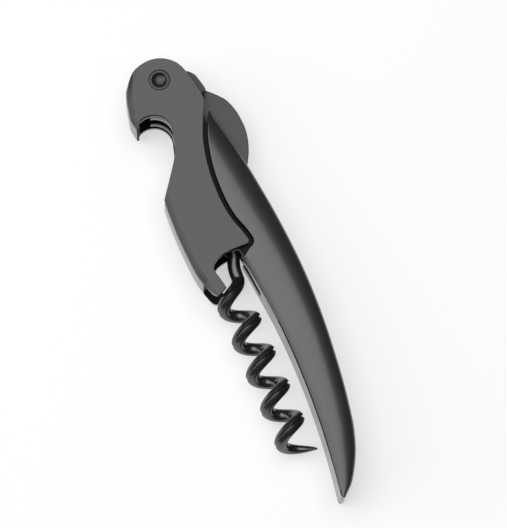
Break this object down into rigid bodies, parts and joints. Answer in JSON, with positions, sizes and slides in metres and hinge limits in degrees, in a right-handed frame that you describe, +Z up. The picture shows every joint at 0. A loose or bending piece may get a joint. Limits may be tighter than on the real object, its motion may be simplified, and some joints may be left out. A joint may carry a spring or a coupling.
{
  "type": "waiter corkscrew",
  "caption": "Folded waiter's corkscrew with a claw-shaped handle, a swinging channel lever with a hooked head and notched foot, a grooved wire worm and a folding foil knife.",
  "frame": {"origin": "middle of the folded tool's outline, on the plane that it lies on", "axes": "+X from the head rivet to the tail of the handle, +Y from the worm to the spine, +Z up through the thickness"},
  "size_m": [0.1202, 0.0266, 0.0135],
  "materials": {
    "lever_steel": "satin charcoal coating on pressed steel",
    "handle_shell": "satin charcoal, fine grain",
    "liner_steel": "satin black coating on steel",
    "knife_steel": "satin olive-black coating",
    "worm_wire": "smooth gloss black non-stick coating",
    "bare_steel": "plain turned and rolled steel"
  },
  "bodies": {
    "handle": {"liner_front": "liner_steel", "liner_rear": "liner_steel", "handle_shell_front": "handle_shell", "handle_shell_rear": "handle_shell", "handle_spacer": "bare_steel", "head_spacer": "bare_steel", "lever_washer_front": "bare_steel", "lever_washer_rear": "bare_steel", "knife_pin": "bare_steel", "knife_washer_front": "bare_steel", "knife_washer_rear": "bare_steel", "knife_spring": "bare_steel", "spring_pin": "bare_steel", "worm_pin": "bare_steel", "worm_washer_front": "bare_steel", "worm_washer_rear": "bare_steel", "handle_pin_1": "bare_steel", "handle_pin_2": "bare_steel", "handle_pin_3": "bare_steel"},
    "lever": {"lever": "lever_steel", "head_rivet": "lever_steel"},
    "knife": {"knife": "knife_steel"},
    "worm": {"worm": "worm_wire"}
  },
  "joints": [
    {"name": "lever_swing", "type": "hinge", "parent": "handle", "child": "lever", "pos_m": [-0.05438, -0.00278, 0.00675], "axis": [0, 0, -1], "range_deg": [0, 120]},
    {"name": "knife_swing", "type": "hinge", "parent": "handle", "child": "knife", "pos_m": [-0.05047, 0.00202, 0.00675], "axis": [0, 0, 1], "range_deg": [0, 110]},
    {"name": "worm_swing", "type": "hinge", "parent": "handle", "child": "worm", "pos_m": [-0.01068, -0.00079, 0.00675], "axis": [0, 0, -1], "range_deg": [0, 90]}
  ],
  "couplings": [
    {"joint": "worm_swing", "follows": "lever_swing", "ratio": 0.75}
  ]
}
